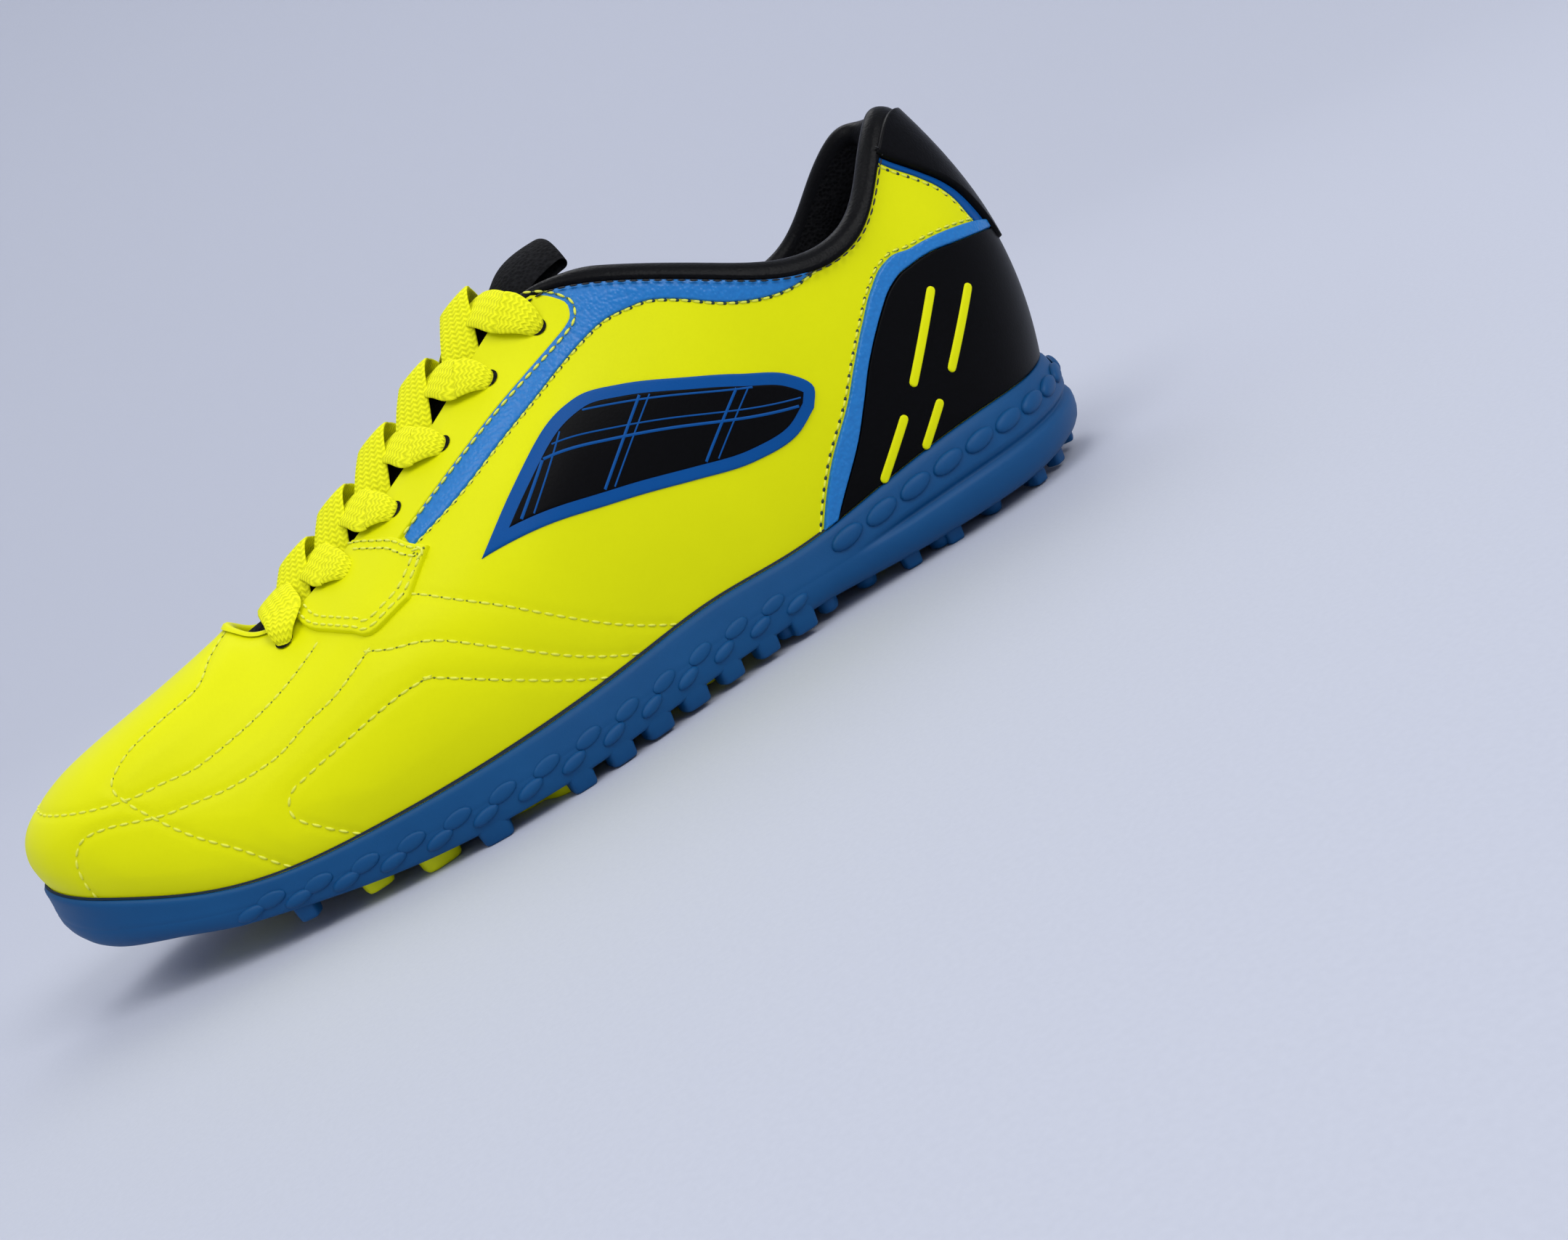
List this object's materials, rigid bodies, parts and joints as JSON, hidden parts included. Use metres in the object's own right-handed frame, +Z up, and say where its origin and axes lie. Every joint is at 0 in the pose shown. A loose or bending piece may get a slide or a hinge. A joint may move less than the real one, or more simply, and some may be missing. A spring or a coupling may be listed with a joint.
{
  "type": "turf shoe",
  "caption": "Low-cut turf shoe for the left foot: stitched synthetic upper with a padded collar, tongue and flat laces, on a rubber cup sole with oval studs, lobed pods and an inlaid forefoot.",
  "frame": {"origin": "middle of the shoe's footprint, on the floor under the sole", "axes": "-X towards the toe, +Z up, +Y towards the medial side of a left shoe"},
  "size_m": [0.2879, 0.1051, 0.1129],
  "materials": {
    "upper": "satin synthetic leather, bright yellow under the blue and black panels",
    "outsole": "matte moulded rubber",
    "turf_insert": "matte moulded rubber",
    "pod": "matte moulded rubber",
    "insole": "matte knitted top cloth",
    "heel_counter": "satin synthetic leather",
    "eyestay": "satin synthetic leather",
    "collar_band": "satin synthetic leather",
    "tongue": "matte padded mesh",
    "lace": "flat braid"
  },
  "bodies": {
    "root": {"outsole": "outsole", "turf_insert": "turf_insert", "pod_ball_outer": "pod", "pod_ball_inner": "pod", "pod_toe_outer": "pod", "pod_toe_inner": "pod", "pod_heel_front": "pod", "pod_heel_outer": "pod", "pod_heel_inner": "pod", "upper": "upper", "insole": "insole", "heel_counter": "heel_counter", "eyestay_lateral": "eyestay", "eyestay_medial": "eyestay", "collar_band_lateral": "collar_band", "collar_band_medial": "collar_band", "tongue": "tongue", "lace_bar": "lace", "lace_crossing_1": "lace", "lace_crossing_2": "lace", "lace_crossing_3": "lace", "lace_crossing_4": "lace", "lace_crossing_5": "lace"}
  },
  "joints": []
}
